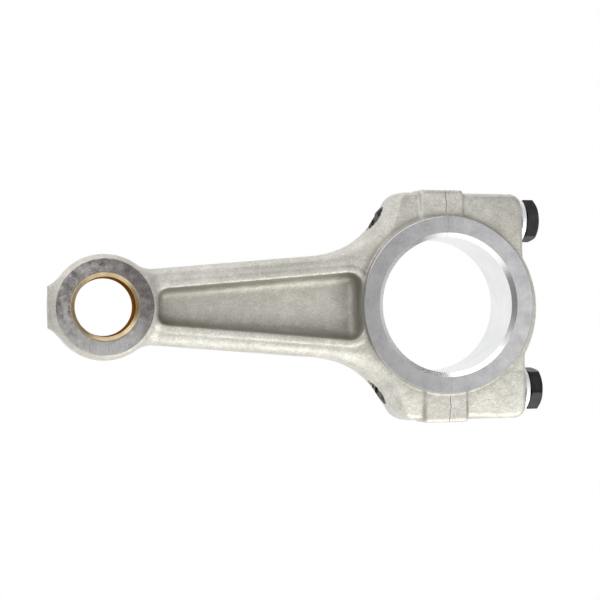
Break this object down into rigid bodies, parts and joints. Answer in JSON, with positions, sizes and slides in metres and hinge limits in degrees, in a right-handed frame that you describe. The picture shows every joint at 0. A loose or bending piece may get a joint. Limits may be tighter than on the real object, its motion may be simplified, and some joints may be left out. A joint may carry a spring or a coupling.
{
  "type": "connecting rod",
  "caption": "Small-engine connecting rod: tapered I-beam shank, bushed small end, split big end with bolted cap.",
  "frame": {"origin": "centre of the underside of the whole rod, on the plane of the lower thrust faces", "axes": "+X along the rod from the small end to the big end, +Z along both bores, +Y across the rod"},
  "size_m": [0.161, 0.0758, 0.022],
  "materials": {
    "cast_rod": "as-cast, with machined faces and bore",
    "cast_cap": "as-cast, with machined faces and bore",
    "bush_bronze": "bored bearing bronze",
    "black_screw": "black oxide",
    "plated_washer": "bright zinc"
  },
  "bodies": {
    "rod": {"rod_body": "cast_rod", "small_end_bush": "bush_bronze"},
    "cap": {"rod_cap": "cast_cap"},
    "upper_washer": {"bolt_washer_upper": "plated_washer"},
    "upper_screw": {"cap_bolt_upper": "black_screw"},
    "lower_washer": {"bolt_washer_lower": "plated_washer"},
    "lower_screw": {"cap_bolt_lower": "black_screw"}
  },
  "joints": [
    {"name": "cap_lift", "type": "slide", "parent": "rod", "child": "cap", "axis": [1, 0, 0], "range_m": [0, 0.06]},
    {"name": "upper_screw_travel", "type": "slide", "parent": "cap", "child": "upper_washer", "axis": [1, 0, 0], "range_m": [0, 0.0224]},
    {"name": "upper_screw_turn", "type": "hinge", "parent": "upper_washer", "child": "upper_screw", "pos_m": [0.0758, 0.0282, 0.011], "axis": [1, 0, 0], "range_deg": [0, 7560]},
    {"name": "lower_screw_travel", "type": "slide", "parent": "cap", "child": "lower_washer", "axis": [1, 0, 0], "range_m": [0, 0.0224]},
    {"name": "lower_screw_turn", "type": "hinge", "parent": "lower_washer", "child": "lower_screw", "pos_m": [0.0758, -0.0282, 0.011], "axis": [1, 0, 0], "range_deg": [0, 7560]}
  ],
  "couplings": [
    {"joint": "upper_screw_travel", "follows": "upper_screw_turn", "m_per_rad": 0.00016844},
    {"joint": "lower_screw_travel", "follows": "lower_screw_turn", "m_per_rad": 0.00016844}
  ]
}
